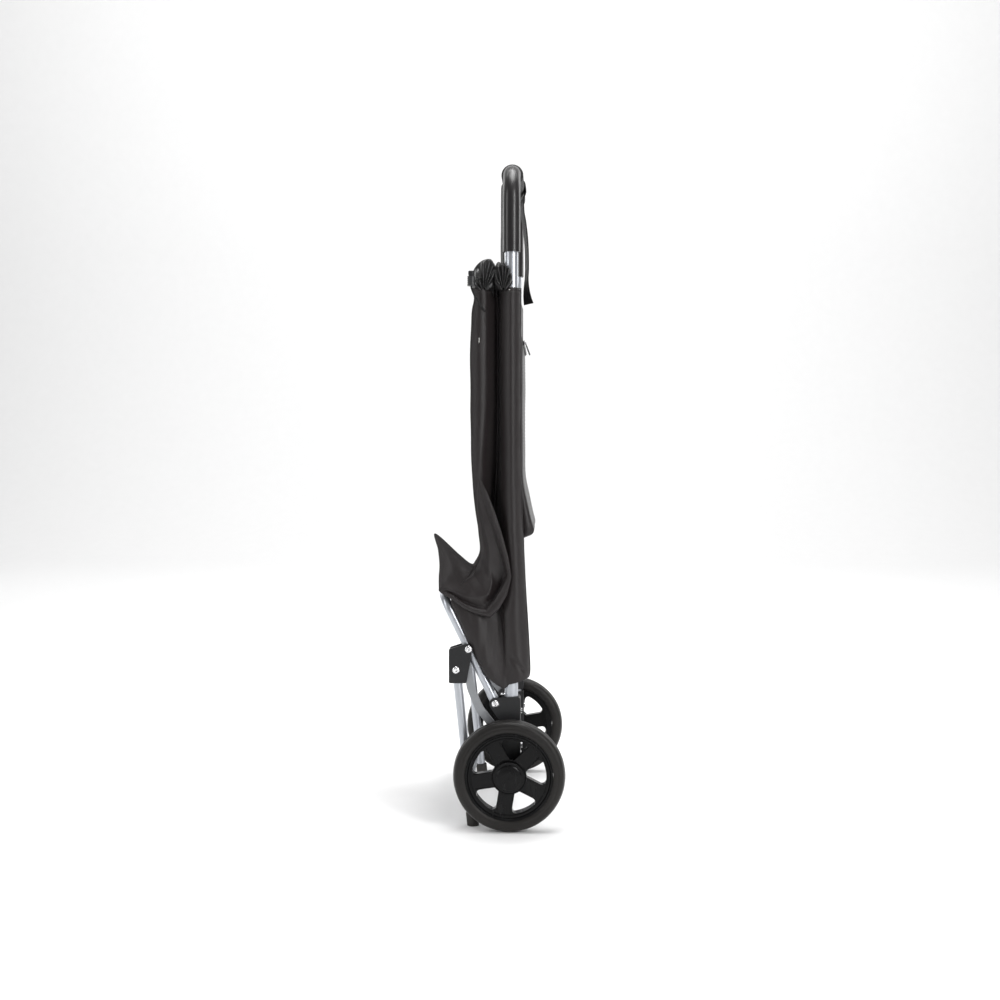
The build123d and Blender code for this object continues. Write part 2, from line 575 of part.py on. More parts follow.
SLIDER_X, SLIDER_TRAVEL = 116.0, 230.0
PULL_PIVOT = (22.0, ZIP_Z)
with BuildPart() as zip_slider:
    slab(SLIDER_X - 5, SLIDER_X + 5, yz(19.8, ZIP_Z - 4), yz(20.7, ZIP_Z - 4),
         yz(20.7, ZIP_Z + 4), yz(19.8, ZIP_Z + 4))
    for ear in (-3.4, 2.2):
        slab(SLIDER_X + ear, SLIDER_X + ear + 1.2, yz(20.7, ZIP_Z - 1.6), yz(23.0, ZIP_Z - 1.3),
             yz(23.0, ZIP_Z + 1.3), yz(20.7, ZIP_Z + 1.6))
    disc(SLIDER_X - 2.4, SLIDER_X + 2.4, PULL_PIVOT, 0.45)
save(zip_slider, "zip_slider")

PULL_LENGTH, PULL_ANGLE = 18.0, -70.0


def pull_point(along, out):
    """Side-view point on the hanging zip pull: along it from its pivot, and outwards."""
    heading = radians(PULL_ANGLE)
    return yz(PULL_PIVOT[0] + along * cos(heading) - out * sin(heading),
              PULL_PIVOT[1] + along * sin(heading) + out * cos(heading))


with BuildPart() as zip_pull:
    slab(SLIDER_X - 2.0, SLIDER_X + 2.0, pull_point(-0.9, -0.75), pull_point(6, -0.75),
         pull_point(6, 0.75), pull_point(-0.9, 0.75))
    slab(SLIDER_X - 3.2, SLIDER_X + 3.2, pull_point(4.4, -1.0), pull_point(PULL_LENGTH, -1.0),
         pull_point(PULL_LENGTH, 1.0), pull_point(4.4, 1.0))
    disc(SLIDER_X - 3, SLIDER_X + 3, PULL_PIVOT, 0.5, Mode.SUBTRACT)
save(zip_pull, "zip_pull")
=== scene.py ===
# %% [markdown]
# # A folding shopping trolley, folded up
# The real trolley is a bent tube frame on two wheels with a fabric bag. A CAD program
# made the frame, so this script only loads it, and never moves it. What it adds is what
# CAD is poor at: cloth that creases, webbing, stitching, moulded rubber and the finishes.
# Everything is in metres: +Z is up, +Y points to the person pulling, +X to their left.

# %% Load the frame
import json
from math import cos, exp, pi, radians, sin, tau

import bmesh
import bpy
from mathutils import Matrix, Vector, noise


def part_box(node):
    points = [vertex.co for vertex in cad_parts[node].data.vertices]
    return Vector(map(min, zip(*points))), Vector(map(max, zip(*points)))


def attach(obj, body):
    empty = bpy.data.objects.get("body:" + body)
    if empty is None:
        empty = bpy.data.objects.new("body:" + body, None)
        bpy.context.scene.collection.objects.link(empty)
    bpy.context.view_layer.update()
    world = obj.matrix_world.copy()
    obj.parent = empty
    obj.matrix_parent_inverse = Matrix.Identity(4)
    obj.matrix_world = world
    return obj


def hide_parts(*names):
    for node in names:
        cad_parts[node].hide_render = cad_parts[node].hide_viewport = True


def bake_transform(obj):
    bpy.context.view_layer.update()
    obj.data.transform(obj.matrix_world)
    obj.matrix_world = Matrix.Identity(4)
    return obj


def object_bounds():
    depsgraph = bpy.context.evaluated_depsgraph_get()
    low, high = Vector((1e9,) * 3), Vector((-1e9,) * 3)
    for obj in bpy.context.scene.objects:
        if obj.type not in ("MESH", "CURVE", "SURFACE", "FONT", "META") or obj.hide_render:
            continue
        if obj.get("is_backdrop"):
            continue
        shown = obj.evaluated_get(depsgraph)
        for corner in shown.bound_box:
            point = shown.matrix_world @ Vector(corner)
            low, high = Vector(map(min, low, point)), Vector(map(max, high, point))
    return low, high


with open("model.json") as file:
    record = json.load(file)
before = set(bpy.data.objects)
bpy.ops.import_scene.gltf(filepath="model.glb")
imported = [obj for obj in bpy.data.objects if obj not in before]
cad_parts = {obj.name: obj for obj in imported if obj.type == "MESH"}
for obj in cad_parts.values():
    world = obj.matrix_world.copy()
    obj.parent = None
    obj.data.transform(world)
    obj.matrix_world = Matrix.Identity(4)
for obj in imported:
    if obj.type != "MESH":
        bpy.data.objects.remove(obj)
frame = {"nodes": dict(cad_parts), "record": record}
nodes = frame["nodes"]
scene = bpy.context.scene
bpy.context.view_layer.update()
MM = 0.001

# %% [markdown]
# ## Camera
# A side view from the left, about two metres away and a little above the middle of the
# trolley. A lens of about 50 mm keeps the near wheel larger and lower than the far one.
# The camera could be aimed with a Track To constraint, but two plain angles are easier
# to read: it looks along -X, turned and tilted down by just over two degrees.

# %% Place the camera
camera_data = bpy.data.cameras.new("side_camera")
camera_data.lens = 49.7
camera = bpy.data.objects.new("side_camera", camera_data)
camera.location = (2.126, 0.0639, 0.5547)
camera.rotation_euler = (radians(90 - 2.42), 0, radians(90 + 1.87))
scene.collection.objects.link(camera)
scene.camera = camera
print("camera is", round(camera.location.x, 2), "m out")

# %% [markdown]
# ## Floor and backdrop
# A studio sweep: a pale floor that curves up into a wall, so no horizon line shows. It
# could be two planes, but a bent strip has no edge to catch the light. One edge is
# extruded step by step along the floor, round the bend and up.


# %% Helpers that turn a bmesh into an object
def make_object(name, bm):
    """Store a bmesh as a new object at the origin and free the bmesh."""
    mesh = bpy.data.meshes.new(name)
    bm.to_mesh(mesh)
    bm.free()
    made = bpy.data.objects.new(name, mesh)
    scene.collection.objects.link(made)
    return made


def shade_smooth(piece):
    """Smooth shading on every face."""
    piece.data.polygons.foreach_set("use_smooth", [True] * len(piece.data.polygons))


# %% Bend the studio sweep
SWEEP_HALF, SWEEP_FRONT, SWEEP_BACK, BEND_R = 9.0, 9.0, -4.0, 1.6
bm = bmesh.new()
ends = [bm.verts.new((SWEEP_FRONT, side * SWEEP_HALF, 0)) for side in (-1, 1)]
edge = bm.edges.new(ends)
steps = [Vector((SWEEP_BACK - SWEEP_FRONT, 0, 0))]
for turn in range(16):
    angle = (turn + 0.5) / 16 * pi / 2
    steps.append(Vector((-cos(angle), 0, sin(angle))) * BEND_R * pi / 32)
steps.append(Vector((0, 0, 6)))
for step in steps:
    grown = bmesh.ops.extrude_edge_only(bm, edges=[edge])["geom"]
    edge = next(part for part in grown if isinstance(part, bmesh.types.BMEdge))
    bmesh.ops.translate(bm, vec=step, verts=edge.verts)
bmesh.ops.recalc_face_normals(bm, faces=bm.faces)
sweep = make_object("studio_sweep", bm)
shade_smooth(sweep)
sweep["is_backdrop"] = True
print("sweep faces:", len(sweep.data.polygons))

# %% [markdown]
# ## Light
# Black cloth and black plastic only show their form in reflected light, so the lamps are
# large and soft. A tall panel stands to the right of the camera and draws one bright
# stripe down each tube. A weaker one on the left, one overhead and two behind fill in,
# and a wide one high up washes the wall, so that it stays as pale as the floor.


# %% Hang the soft panels
def soft_panel(name, place, target, size, power):
    """An area light of a given size in metres, aimed at a point."""
    lamp = bpy.data.lights.new(name, "AREA")
    lamp.shape = "RECTANGLE"
    lamp.size, lamp.size_y = size
    lamp.energy = power
    panel = bpy.data.objects.new(name, lamp)
    panel.location = place
    aim = Vector(target) - Vector(place)
    panel.rotation_euler = aim.to_track_quat("-Z", "Y").to_euler()
    scene.collection.objects.link(panel)


MIDDLE = (0, 0, 0.5)
soft_panel("right_panel", (1.9, 1.5, 1.3), MIDDLE, (0.45, 1.8), 34)
soft_panel("left_panel", (1.2, -2.1, 1.2), MIDDLE, (0.6, 1.8), 15)
soft_panel("top_panel", (0.2, 0.2, 2.6), MIDDLE, (1.2, 1.2), 40)
soft_panel("rear_panel", (-1.6, 1.7, 1.5), MIDDLE, (1.0, 1.6), 12)
soft_panel("front_panel", (-1.4, -1.8, 1.4), MIDDLE, (1.0, 1.6), 12)
soft_panel("wall_wash", (-1.6, 0, 4.6), (-5.4, 0, 1.0), (6.0, 1.2), 235)
world = bpy.data.worlds.new("studio_white")
world.use_nodes = True
world.node_tree.nodes["Background"].inputs["Color"].default_value = (1, 1, 1, 1)
world.node_tree.nodes["Background"].inputs["Strength"].default_value = 0.22
scene.world = world
scene.view_settings.view_transform = "Standard"

# %% [markdown]
# ## Shared surface effects
# Four effects come back in many finishes: a woven pattern, a moulded grain, scuffs, and
# dust that settles low down. Each is a shader node group, built once, with its own
# inputs and outputs, so that every material can place it with different values.


# %% Helpers for node groups
def new_effect(name, inputs, outputs):
    """An empty shader node group with float or vector inputs and float outputs."""
    group = bpy.data.node_groups.new(name, "ShaderNodeTree")
    for label, value in inputs.items():
        kind = "NodeSocketVector" if value is None else "NodeSocketFloat"
        socket = group.interface.new_socket(label, in_out="INPUT", socket_type=kind)
        if value is not None:
            socket.default_value = value
    for label in outputs:
        group.interface.new_socket(label, in_out="OUTPUT", socket_type="NodeSocketFloat")
    start = group.nodes.new("NodeGroupInput")
    end = group.nodes.new("NodeGroupOutput")
    return group, start.outputs, end.inputs


def maths(tree, operation, first, second=0.0, clamp=False):
    """A Math node fed by sockets or numbers. Returns its output."""
    node = tree.nodes.new("ShaderNodeMath")
    node.operation = operation
    node.use_clamp = clamp
    for socket, value in zip(node.inputs, (first, second)):
        if isinstance(value, (int, float)):
            socket.default_value = value
        else:
            tree.links.new(value, socket)
    return node.outputs[0]


def noise_of(tree, vector, scale, detail=3.0, stretch=None):
    """A Noise Texture on a vector, with an optional stretch. Returns its output."""
    if stretch is not None:
        mapping = tree.nodes.new("ShaderNodeMapping")
        mapping.inputs["Scale"].default_value = stretch
        tree.links.new(vector, mapping.inputs["Vector"])
        vector = mapping.outputs[0]
    texture = tree.nodes.new("ShaderNodeTexNoise")
    texture.inputs["Detail"].default_value = detail
    tree.links.new(vector, texture.inputs["Vector"])
    if isinstance(scale, (int, float)):
        texture.inputs["Scale"].default_value = scale
    else:
        tree.links.new(scale, texture.inputs["Scale"])
    return texture.outputs["Fac"]


# %% The four effects
weave, given, out = new_effect(
    "weave", {"Vector": None, "Threads": 1400.0, "Slub": 0.4}, ("Height", "Shade"))
split_uv = weave.nodes.new("ShaderNodeSeparateXYZ")
weave.links.new(given["Vector"], split_uv.inputs[0])
rate = maths(weave, "MULTIPLY", given["Threads"], pi)
warp = maths(weave, "SINE", maths(weave, "MULTIPLY", split_uv.outputs[0], rate))
weft = maths(weave, "SINE", maths(weave, "MULTIPLY", split_uv.outputs[1], rate))
crossing = maths(weave, "MULTIPLY", warp, weft)
slub = noise_of(weave, given["Vector"], 60.0, 2.0, (1.0, 14.0, 1.0))
slub = maths(weave, "MULTIPLY", maths(weave, "SUBTRACT", slub, 0.5), given["Slub"])
weave.links.new(maths(weave, "ADD", maths(weave, "MULTIPLY", crossing, 0.5), slub),
                out["Height"])
weave.links.new(maths(weave, "ADD", maths(weave, "MULTIPLY", crossing, 0.12),
                      maths(weave, "ADD", slub, 0.5)), out["Shade"])

grain, given, out = new_effect("grain", {"Vector": None, "Scale": 900.0}, ("Height", "Shade"))
fine = noise_of(grain, given["Vector"], given["Scale"], 2.0)
broad = noise_of(grain, given["Vector"], 24.0, 4.0)
grain.links.new(fine, out["Height"])
grain.links.new(maths(grain, "ADD", maths(grain, "MULTIPLY", broad, 0.7),
                      maths(grain, "MULTIPLY", fine, 0.3)), out["Shade"])

scuffs, given, out = new_effect("scuffs", {"Vector": None, "Amount": 0.5}, ("Mask",))
patches = noise_of(scuffs, given["Vector"], 18.0, 4.0)
streaks = noise_of(scuffs, given["Vector"], 140.0, 3.0, (1.0, 1.0, 0.08))
both = maths(scuffs, "MULTIPLY", patches, streaks)
sharp = maths(scuffs, "MULTIPLY", maths(scuffs, "SUBTRACT", both, 0.34), 9.0, True)
scuffs.links.new(maths(scuffs, "MULTIPLY", sharp, given["Amount"]), out["Mask"])

dust, given, out = new_effect(
    "dust", {"Vector": None, "Top": 0.25, "Amount": 0.5}, ("Mask",))
split_dust = dust.nodes.new("ShaderNodeSeparateXYZ")
dust.links.new(given["Vector"], split_dust.inputs[0])
height = maths(dust, "DIVIDE", split_dust.outputs[2], given["Top"])
low = maths(dust, "SUBTRACT", 1.0, height, True)
cloud = noise_of(dust, given["Vector"], 42.0, 5.0)
dust.links.new(maths(dust, "MULTIPLY", maths(dust, "MULTIPLY", low, cloud), given["Amount"]),
               out["Mask"])
print("effects:", [g.name for g in bpy.data.node_groups if g.type == "SHADER"])

# %% [markdown]
# ## Finishes
# Each finish is one Principled BSDF. Its colour runs between two tones under a shade
# from the effects, its roughness varies with the same shade, and a Bump node gives the
# weave or grain. One function can wire all that, because only the numbers differ.


# %% Helper that wires one finish
def finish(name, tones, roughness, effect, bump, coat=0.0, metallic=0.0, sheen=0.0,
           values=None, wear=None, dirt=None, uv=False, specular=0.5):
    """A material: two tones and two roughnesses mixed by an effect, with a bump."""
    material = bpy.data.materials.new(name)
    material.use_nodes = True
    tree = material.node_tree
    shader = tree.nodes["Principled BSDF"]
    coordinates = tree.nodes.new("ShaderNodeTexCoord")
    place = coordinates.outputs["Object"]
    pattern = coordinates.outputs["UV"] if uv else place
    surface = tree.nodes.new("ShaderNodeGroup")
    surface.node_tree = effect
    for label, value in (values or {}).items():
        surface.inputs[label].default_value = value
    tree.links.new(pattern, surface.inputs["Vector"])
    blend_tones = tree.nodes.new("ShaderNodeMix")
    blend_tones.data_type = "RGBA"
    tree.links.new(surface.outputs["Shade"], blend_tones.inputs["Factor"])
    blend_tones.inputs["A"].default_value = (*tones[0], 1)
    blend_tones.inputs["B"].default_value = (*tones[1], 1)
    colour = blend_tones.outputs["Result"]
    rough = maths(tree, "ADD", maths(tree, "MULTIPLY", surface.outputs["Shade"],
                                     roughness[1] - roughness[0]), roughness[0])
    for extra, settings in ((scuffs, wear), (dust, dirt)):
        if settings is None:
            continue
        layer = tree.nodes.new("ShaderNodeGroup")
        layer.node_tree = extra
        tree.links.new(place, layer.inputs["Vector"])
        for label, value in settings["values"].items():
            layer.inputs[label].default_value = value
        over = tree.nodes.new("ShaderNodeMix")
        over.data_type = "RGBA"
        tree.links.new(layer.outputs["Mask"], over.inputs["Factor"])
        tree.links.new(colour, over.inputs["A"])
        over.inputs["B"].default_value = (*settings["tone"], 1)
        colour = over.outputs["Result"]
        rough = maths(tree, "ADD", rough, maths(tree, "MULTIPLY", layer.outputs["Mask"], 0.3))
    tree.links.new(colour, shader.inputs["Base Color"])
    tree.links.new(rough, shader.inputs["Roughness"])
    relief = tree.nodes.new("ShaderNodeBump")
    relief.inputs["Strength"].default_value = bump[0]
    relief.inputs["Distance"].default_value = bump[1]
    tree.links.new(surface.outputs["Height"], relief.inputs["Height"])
    tree.links.new(relief.outputs[0], shader.inputs["Normal"])
    shader.inputs["Metallic"].default_value = metallic
    shader.inputs["Specular IOR Level"].default_value = specular
    if coat:
        shader.inputs["Coat Weight"].default_value = coat
        shader.inputs["Coat Roughness"].default_value = 0.25
    if sheen:
        shader.inputs["Sheen Weight"].default_value = sheen
        shader.inputs["Sheen Roughness"].default_value = 0.45
    return material


# %% Metals
tube_wear = {"tone": (0.20, 0.20, 0.21), "values": {"Amount": 0.3}}
road_dust = {"tone": (0.10, 0.085, 0.07), "values": {"Top": 0.16, "Amount": 0.22}}
silver_paint = finish("silver_paint", ((0.42, 0.44, 0.47), (0.56, 0.58, 0.62)), (0.26, 0.44),
                      grain, (0.05, 0.0002), metallic=0.82, wear=tube_wear, dirt=road_dust)
grey_zinc = finish("grey_zinc", ((0.24, 0.25, 0.26), (0.42, 0.43, 0.45)), (0.34, 0.58),
                   grain, (0.12, 0.0003), metallic=0.85, values={"Scale": 320.0},
                   wear=tube_wear, dirt=road_dust)
bright_zinc = finish("bright_zinc", ((0.66, 0.66, 0.67), (0.88, 0.88, 0.90)), (0.14, 0.32),
                     grain, (0.05, 0.0002), metallic=1.0)
print("metals:", silver_paint.name, grey_zinc.name, bright_zinc.name)

# %% Plastics and rubbers
rub = {"tone": (0.028, 0.028, 0.028), "values": {"Amount": 0.18}}
rim_black = finish("rim_black", ((0.002, 0.002, 0.0022), (0.005, 0.005, 0.0053)),
                   (0.18, 0.32), grain, (0.10, 0.0003), wear=rub, specular=0.16)
bracket_black = finish("bracket_black", ((0.006, 0.006, 0.007), (0.016, 0.0165, 0.018)),
                       (0.38, 0.58), grain, (0.35, 0.0005), values={"Scale": 650.0}, wear=rub,
                       specular=0.4)
vinyl_black = finish("vinyl_black", ((0.008, 0.007, 0.0075), (0.016, 0.0145, 0.015)),
                     (0.26, 0.40), grain, (0.06, 0.0003), coat=0.08, wear=rub, specular=0.45)
foam_black = finish("foam_black", ((0.008, 0.008, 0.008), (0.026, 0.025, 0.025)),
                    (0.55, 0.8), grain, (0.8, 0.0008), values={"Scale": 1100.0})
tyre_brown = finish("tyre_brown", ((0.006, 0.0055, 0.0052), (0.016, 0.0145, 0.0135)),
                    (0.27, 0.44), grain, (0.6, 0.0006), wear=rub, specular=0.26,
                    dirt={"tone": (0.06, 0.053, 0.046), "values": {"Top": 0.17, "Amount": 0.2}})
cap_black = finish("cap_black", ((0.010, 0.010, 0.010), (0.030, 0.028, 0.026)), (0.6, 0.8),
                   grain, (0.3, 0.0004), dirt=road_dust)
lock_grey = finish("lock_grey", ((0.018, 0.018, 0.019), (0.055, 0.055, 0.057)), (0.3, 0.45),
                   grain, (0.15, 0.0003))
# White nylon for the CAD nylon parts; the same finish also paints two pale highlights on the
# bag.
nylon_white_and_highlight = finish("nylon_white_and_highlight", ((0.62, 0.62, 0.60), (0.78, 0.78, 0.75)), (0.3, 0.5),
                     grain, (0.05, 0.0002))
board_black = finish("board_black", ((0.014, 0.014, 0.014), (0.030, 0.030, 0.030)), (0.5, 0.7),
                     grain, (0.3, 0.0005), values={"Scale": 300.0})
print("plastics done")

# %% Cloths
lint = {"tone": (0.05, 0.047, 0.046), "values": {"Amount": 0.12}}
bag_cloth = finish("bag_cloth", ((0.0075, 0.0055, 0.0057), (0.0175, 0.0132, 0.0136)),
                   (0.34, 0.48), weave, (0.30, 0.0004), sheen=0.05, uv=True, wear=lint,
                   values={"Threads": 1500.0, "Slub": 0.30}, specular=0.40)
lining_cloth = finish("lining_cloth", ((0.003, 0.0028, 0.0029), (0.011, 0.0105, 0.011)),
                      (0.26, 0.42), weave, (0.25, 0.0003), sheen=0.04, uv=True,
                      values={"Threads": 2200.0, "Slub": 0.3}, specular=0.55)
webbing_black = finish("webbing_black", ((0.0025, 0.0025, 0.003), (0.010, 0.0098, 0.010)),
                       (0.45, 0.7), weave, (0.9, 0.0008), sheen=0.06, uv=True,
                       values={"Threads": 620.0, "Slub": 0.15}, specular=0.35)
thread_black = finish("thread_black", ((0.020, 0.018, 0.018), (0.075, 0.070, 0.070)),
                      (0.4, 0.6), grain, (0.3, 0.0003), sheen=0.2)
print("cloths done")

# %% Studio white
studio_white = finish("studio_white", ((0.86, 0.86, 0.86), (0.90, 0.90, 0.90)), (0.8, 0.9),
                      grain, (0.02, 0.0005))
sweep.data.materials.append(studio_white)


# %% [markdown]
# ## Finishes on the CAD nodes
# The metal and plastic pieces keep their CAD shapes. They only get a finish, by their
# slot in the record, so that a slot and its look can't drift apart.

# %% Paint the CAD nodes
FINISH_OF_SLOT = {
    "silver_tube": silver_paint, "handle_sleeve": vinyl_black, "grip_foam": foam_black,
    "bright_steel": bright_zinc, "bag_cloth": bag_cloth, "webbing": webbing_black,
    "lock_grey": lock_grey, "bracket_plastic": bracket_black, "zip_tape": webbing_black,
    "board": board_black, "link_steel": grey_zinc, "cap_rubber": cap_black,
    "tyre": tyre_brown, "rim_plastic": rim_black, "nylon": nylon_white_and_highlight}
for entry in frame["record"]["subparts"]:
    part_node = nodes[entry["node"]]
    part_node.data.materials.clear()
    part_node.data.materials.append(FINISH_OF_SLOT[entry["material_slot"]])

# %% [markdown]
# ## Sheets of cloth
# A cloth panel starts as a flat grid, one vertex for each step across and along. Its flat
# place is kept as the UV map, in metres, so that the weave keeps its size however the
# panel is bent. A function then says where each point of the cloth lies. Cloth
# simulation could find the folds, but a bag that stands folded has a few set creases,
# and rails placed one by one give exactly those.


# %% Helpers for sheets
def smooth_rail(points):
    """A function of t, from 0 to the last index, that runs smoothly through points."""
    rail = [Vector(point) for point in points]

    def at(t):
        i = min(max(int(t), 0), len(rail) - 2)
        f = t - i
        before, a = rail[max(i - 1, 0)], rail[i]
        b, after = rail[i + 1], rail[min(i + 2, len(rail) - 1)]
        into, away = (b - before) / 2, (after - a) / 2
        return (a * (2 * f ** 3 - 3 * f ** 2 + 1) + into * (f ** 3 - 2 * f ** 2 + f)
                + b * (3 * f ** 2 - 2 * f ** 3) + away * (f ** 3 - f ** 2))

    return at


def cloth_grid(name, columns, rows, flat, place, cloth, thick=0.7 * MM, closed=False):
    """Bend a flat grid of cloth. place(u, v) gives a point, u and v running 0 to 1."""
    bm = bmesh.new()
    uv = bm.loops.layers.uv.new("cloth")
    bmesh.ops.create_grid(bm, x_segments=columns, y_segments=rows, size=0.5)
    for face in bm.faces:
        for loop in face.loops:
            loop[uv].uv = ((loop.vert.co.x + 0.5) * flat[0], (loop.vert.co.y + 0.5) * flat[1])
    for vert in bm.verts:
        vert.co = place(vert.co.x + 0.5, vert.co.y + 0.5)
    if closed:
        bmesh.ops.remove_doubles(bm, verts=bm.verts, dist=0.02 * MM)
    bmesh.ops.recalc_face_normals(bm, faces=bm.faces)
    sheet = make_object(name, bm)
    shade_smooth(sheet)
    sheet.data.materials.append(cloth)
    if thick:
        wall = sheet.modifiers.new("cloth_thickness", "SOLIDIFY")
        wall.thickness, wall.offset = thick, 0.0
    return sheet


def ripple(point, size, depth, seed=0.0):
    """A smooth random height from -depth to depth, with waves of about size."""
    return noise.noise(Vector(point) / size + Vector((seed, 0, 0))) * depth


def bump_at(value, centre, width):
    """1 at centre, falling to 0 over about width on both sides."""
    return exp(-((value - centre) / width) ** 2)


# %% [markdown]
# ## Side-view sizes
# The bag's rails are written as they are seen from the side: how far behind or in front
# of the wheel axle a point lies, how high it is, and how far out from the middle. The
# axle's place comes from the CAD frame. The handle's tubes stand 150 mm out from the
# middle and 2.4 mm behind the axle.

# %% Measure the frame for the bag
axle_low, axle_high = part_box("axle")
AXLE_Y = (axle_low.y + axle_high.y) / 2
TUBE_X, TUBE_BACK = 150, 2.4


def spot(x, y, z):
    """Millimetres out from the middle, behind the axle and above the floor."""
    return Vector((x * MM, AXLE_Y + y * MM, z * MM))


print("axle y:", round(AXLE_Y, 4), "tube at", TUBE_X, "and", TUBE_BACK, "mm")

# %% [markdown]
# ## Bag shell
# The shell is lofted like a sail: rails run from the top hem down to the bottom, and the
# cloth passes smoothly from rail to rail round the bag. From the middle of the back they
# are the back seam, the tube's sleeve at its rear, outside and front, the gusset's
# valley, its ridge and the front corner. Near the bottom the front rails swing round and
# follow the platform.

# %% The rails of the shell
HEM = 773
back_middle = smooth_rail([
    (0, 12, HEM), (0, 12.6, 700), (0, 12, 600), (0, 12, 520), (0, 13, 450),
    (0, 14, 400), (0, 15, 350), (0, 16, 300), (0, 17, 260), (0, 17, 232), (0, 15.5, 221)])
back_seam = smooth_rail([
    (136, 14.2, HEM), (136, 14.2, 700), (136, 14.2, 600), (136, 14.4, 520), (136, 16, 450),
    (136, 18, 400), (136, 20, 350), (136, 23, 300), (136, 25, 260), (136, 26.5, 232),
    (136, 25.4, 222)])
sleeve_rear = smooth_rail([
    (150, 15.6, HEM), (150, 15.6, 700), (150, 15.6, 600), (150, 16, 520), (150, 17.5, 450),
    (150, 20, 400), (150, 22.5, 350), (150, 25.5, 300), (150, 27.8, 260), (150, 29, 228),
    (150, 28.2, 217)])
sleeve_out = smooth_rail([
    (163.4, 3, HEM), (163.4, 3, 700), (163.4, 3, 600), (163.4, 3, 520), (163.8, 4, 450),
    (164.4, 6, 400), (164.6, 8, 350), (164.6, 10, 300), (164.4, 12, 260), (164, 14.5, 226),
    (162.5, 15, 211.5)])
sleeve_front = smooth_rail([
    (153, -10.8, HEM), (153, -10.8, 700), (152, -11, 600), (150, -11.2, 520), (149, -11.4, 450),
    (149, -11.6, 400), (153, -11.5, 350), (160.5, -5, 300), (161, -3.5, 255), (160, -2.5, 224),
    (158, -1, 206)])
valley = smooth_rail([
    (137, -19, HEM), (133, -18.5, 700), (130, -18.5, 600), (122, -20, 520), (118, -23, 450),
    (126, -24, 400), (140, -22, 345), (147, -16, 296), (153, -13, 254), (159, -9.5, 223),
    (158.5, -7, 201)])
ridge = smooth_rail([
    (160, -36, HEM), (161, -35, 700), (161.5, -35.5, 600), (161, -39, 525), (146, -38, 450),
    (146, -40, 400), (153, -50, 345), (161, -42, 292), (162.5, -32, 246), (161.5, -24, 220),
    (158, -11, 202)])
corner = smooth_rail([
    (157, -51, HEM), (158, -53.5, 700), (158, -54, 600), (158, -53.5, 530), (157, -47.5, 455),
    (155, -43, 386), (156, -80, 336), (157, -75, 304), (157, -55.5, 259), (157, -34, 220),
    (157, -19.5, 207)])
front_edge = smooth_rail([
    (140, -53, HEM), (140, -55, 700), (140, -55, 600), (140, -54, 530), (140, -48, 455),
    (140, -43, 388), (142, -76, 335), (142, -68.5, 306), (142, -46.5, 265), (142, -24, 224),
    (142, -12, 205)])
front_middle = smooth_rail([
    (0, -52, HEM), (0, -54, 700), (0, -52, 600), (0, -50, 530), (0, -45, 455),
    (0, -41, 388), (0, -74, 334), (0, -66.5, 306), (0, -45, 266), (0, -22, 226), (0, -6, 209)])
HALF_RING = (back_middle, back_seam, sleeve_rear, sleeve_out, sleeve_front, valley, ridge,
             corner, front_edge, front_middle)
RING_STOPS = (0, 0.20, 0.235, 0.27, 0.305, 0.36, 0.42, 0.47, 0.50, 0.72)
DOWN_STEPS, SEAM_TOP = 10, 262
print("rails round half the bag:", len(HALF_RING))


# %% Loft the shell
def stop_place(value, stops):
    """Where a value lies among stops, as a whole index and a fraction."""
    for i in range(len(stops) - 1):
        if value <= stops[i + 1]:
            return i + (value - stops[i]) / (stops[i + 1] - stops[i])
    return len(stops) - 1


def far_side_tuck(y, side):
    """The far sleeve is pulled tight against its tube, so its back bulges less."""
    return 12.4 + (y - 12.4) * 0.4 if side < 0 and y > 12.4 else y


def shell_point(u, v):
    """A point of the shell: u once round from the middle of the back, v down from 0."""
    side = 1 if u <= 0.5 else -1
    half = min(u, 1 - u) * 2
    t = stop_place(half * RING_STOPS[-1], RING_STOPS)
    x, y, z = smooth_rail([rail(v * DOWN_STEPS) for rail in HALF_RING])(t)
    long_fold = ripple((side * x * 0.9, y * 1.6, z * 0.16), 14, 2.0, 3.1)
    soft = ripple((side * x, y, z), 55, 2.0, 8.4)
    free = 0.25 + 0.75 * min(1.0, abs(t - 3.2) * 0.5)
    lift = (long_fold + soft) * free * min(1.0, v * 12)
    seam = 3.2 * bump_at(y * 0.736 + z * 0.675, 168.5, 2.2) * bump_at(y, 14, 14)
    seam *= z < SEAM_TOP
    if t > 5.5:
        y += 3.0 * bump_at(z, 757, 11) * min(1.0, t - 5.5)
    if t > 6.9:
        return spot(side * x, y - lift * 0.6, z)
    if t < 1.2:
        return spot(side * x, far_side_tuck(y, side) - abs(lift) * 0.4, z)
    return spot(side * (x + abs(lift) * 0.7 - seam), far_side_tuck(y, side), z)


shell_piece = cloth_grid("bag_shell", 260, 140, (0.84, 0.62), shell_point, bag_cloth,
                         closed=True)
bm = bmesh.new()
bm.from_mesh(shell_piece.data)
open_edges = [e for e in bm.edges if e.is_boundary]
bottom = [e for e in open_edges if max(v.co.z for v in e.verts) < HEM * MM - 0.05]
bmesh.ops.holes_fill(bm, edges=bottom, sides=0)
bm.to_mesh(shell_piece.data)
bm.free()
shade_smooth(shell_piece)
print("shell vertices:", len(shell_piece.data.vertices))

# %% [markdown]
# ## Front pleat
# Folding up leaves too much cloth at the front: it stands off as a pointed horn and
# hangs over at both sides in a deep pleat. The pleat is one sheet. Its free edge starts
# high on the gusset, runs down to the tube and back along the crease to the platform,
# and its other rail runs down the front, out to the horn's tip and back. Between the two
# rails lie a raised rim, a deep pocket behind it, a ridge and a hollow facet, each with
# its own width or depth at every stop. The far side is lower and tucked in.

